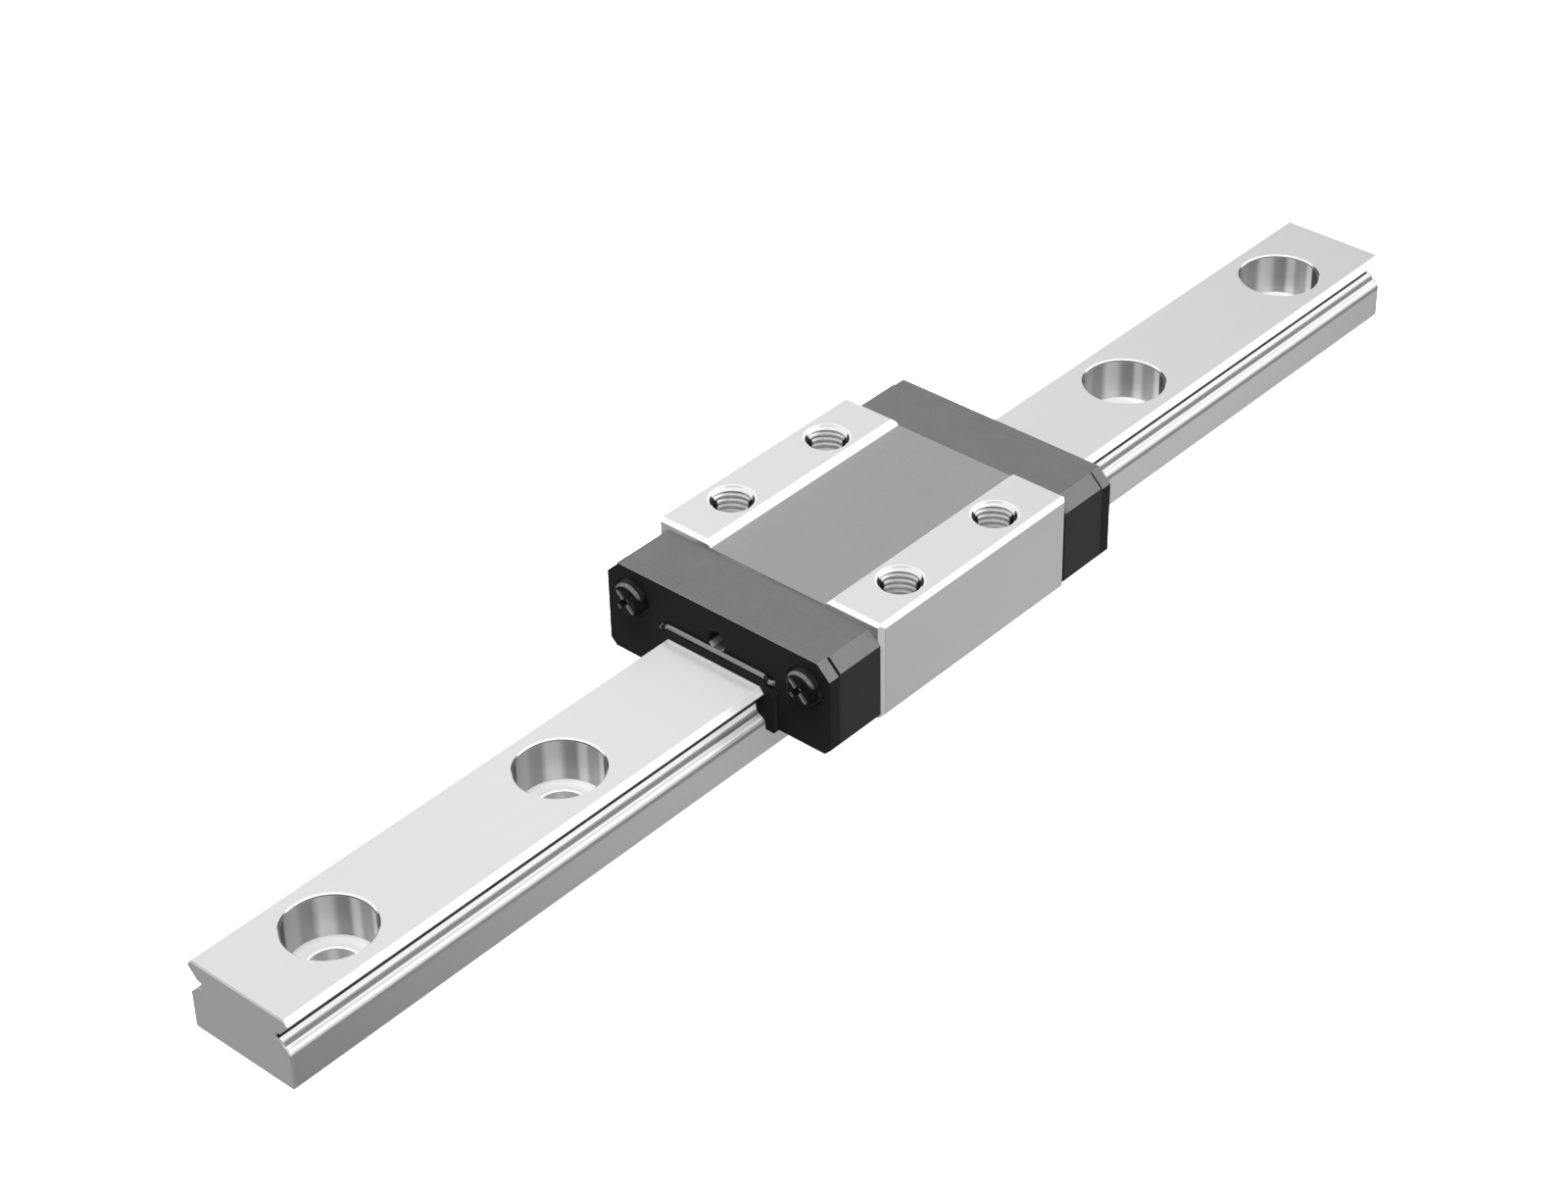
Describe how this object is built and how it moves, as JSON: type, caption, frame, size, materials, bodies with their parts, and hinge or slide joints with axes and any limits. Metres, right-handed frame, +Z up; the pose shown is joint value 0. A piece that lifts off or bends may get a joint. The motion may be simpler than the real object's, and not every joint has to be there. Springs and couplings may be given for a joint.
{
  "type": "linear guide",
  "caption": "Miniature linear guide: grooved steel rail with counterbored bolt holes, and a steel ball carriage with black end caps and seals that slides along it.",
  "frame": {"origin": "centre of the rail's underside at mid-length, below the carriage in its rest place", "axes": "+X along the rail towards its rear end, +Y across the rail to the carriage's left side, +Z up from the rail's seat"},
  "size_m": [0.115, 0.02, 0.01],
  "materials": {
    "rail_steel": "fine ground steel, brighter along its chamfers",
    "block_steel": "ground steel pads and sides, with a matt recessed top",
    "cap_plastic": "black moulded plastic, fine satin grain",
    "seal_rubber": "black moulded rubber on a stiff plate",
    "screw_steel": "black oxide, slightly oiled",
    "wire_steel": "drawn stainless wire",
    "guide_plastic": "dark moulded plastic",
    "ball_steel": "polished bearing steel"
  },
  "bodies": {
    "rail": {"rail": "rail_steel"},
    "carriage": {"carriage_block": "block_steel", "front_end_cap": "cap_plastic", "rear_end_cap": "cap_plastic", "front_end_seal": "seal_rubber", "rear_end_seal": "seal_rubber", "front_left_cap_screw": "screw_steel", "front_right_cap_screw": "screw_steel", "rear_left_cap_screw": "screw_steel", "rear_right_cap_screw": "screw_steel", "front_ball_wire": "wire_steel", "rear_ball_wire": "wire_steel", "front_left_turn_guide": "guide_plastic", "front_right_turn_guide": "guide_plastic", "rear_left_turn_guide": "guide_plastic", "rear_right_turn_guide": "guide_plastic", "left_load_balls": "ball_steel", "left_return_balls": "ball_steel", "right_load_balls": "ball_steel", "right_return_balls": "ball_steel", "front_left_turn_balls": "ball_steel", "front_right_turn_balls": "ball_steel", "rear_left_turn_balls": "ball_steel", "rear_right_turn_balls": "ball_steel"}
  },
  "joints": [
    {"name": "carriage_slide", "type": "slide", "parent": "rail", "child": "carriage", "axis": [1, 0, 0], "range_m": [-0.042, 0.042]}
  ]
}
